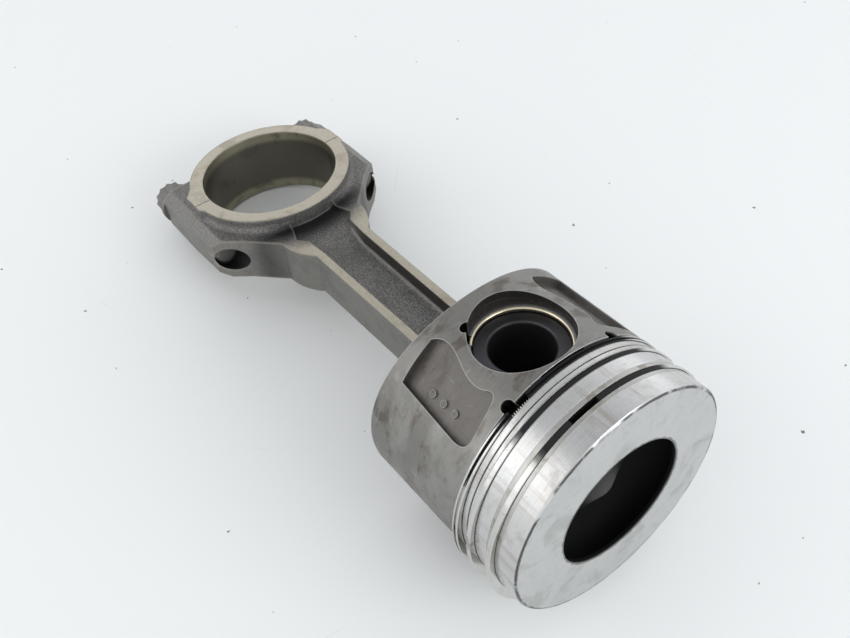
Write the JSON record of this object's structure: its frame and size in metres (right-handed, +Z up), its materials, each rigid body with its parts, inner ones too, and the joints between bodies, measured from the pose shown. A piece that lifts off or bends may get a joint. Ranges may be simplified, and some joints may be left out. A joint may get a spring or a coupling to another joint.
{
  "type": "piston and connecting rod",
  "caption": "Bowl-in-crown engine piston with rings, hollow wrist pin and an H-section connecting rod with a bolted big end cap, lying on its side.",
  "frame": {"origin": "centre of the bounding box, on the surface that the assembly lies on", "axes": "+X from the big end towards the piston's crown, +Z up, +Y completes the right-handed frame"},
  "size_m": [0.2436, 0.0862, 0.0914],
  "materials": {
    "piston_aluminium": "cast and machined, used",
    "carrier_iron": "turned",
    "ring_steel": "ground and worn bright",
    "spring_steel": "drawn wire",
    "clip_steel": "drawn wire",
    "pin_steel": "ground, with a dark film",
    "rod_steel": "forged, with machined faces",
    "bush_bronze": "bored",
    "bolt_steel": "dark grey phosphate coat"
  },
  "bodies": {
    "piston": {"piston_body": "piston_aluminium", "ring_carrier": "carrier_iron", "circlip_upper": "clip_steel", "circlip_lower": "clip_steel"},
    "pin": {"wrist_pin": "pin_steel"},
    "rod": {"connecting_rod": "rod_steel", "small_end_bush": "bush_bronze", "rod_cap": "rod_steel", "cap_bolt_left": "bolt_steel", "cap_bolt_right": "bolt_steel"},
    "top_ring": {"top_compression_ring": "ring_steel"},
    "second_ring": {"second_compression_ring": "ring_steel"},
    "oil_ring": {"oil_control_ring": "ring_steel", "oil_ring_coil_spring": "spring_steel", "oil_ring_latch_wire": "spring_steel"}
  },
  "joints": [
    {"name": "rod_swing", "type": "hinge", "parent": "piston", "child": "rod", "pos_m": [0.07398, 0, 0.04428], "axis": [-0.1592, 0, 0.9872], "range_deg": [-38, 38]},
    {"name": "pin_turn", "type": "hinge", "parent": "piston", "child": "pin", "pos_m": [0.07398, 0, 0.04428], "axis": [-0.1592, 0, 0.9872], "continuous": true},
    {"name": "top_ring_turn", "type": "hinge", "parent": "piston", "child": "top_ring", "pos_m": [0.09409, 0, 0.04519], "axis": [0.9872, 0, 0.1592], "continuous": true},
    {"name": "second_ring_turn", "type": "hinge", "parent": "piston", "child": "second_ring", "pos_m": [0.09409, 0, 0.04519], "axis": [0.9872, 0, 0.1592], "continuous": true},
    {"name": "oil_ring_turn", "type": "hinge", "parent": "piston", "child": "oil_ring", "pos_m": [0.09409, 0, 0.04519], "axis": [0.9872, 0, 0.1592], "continuous": true}
  ]
}
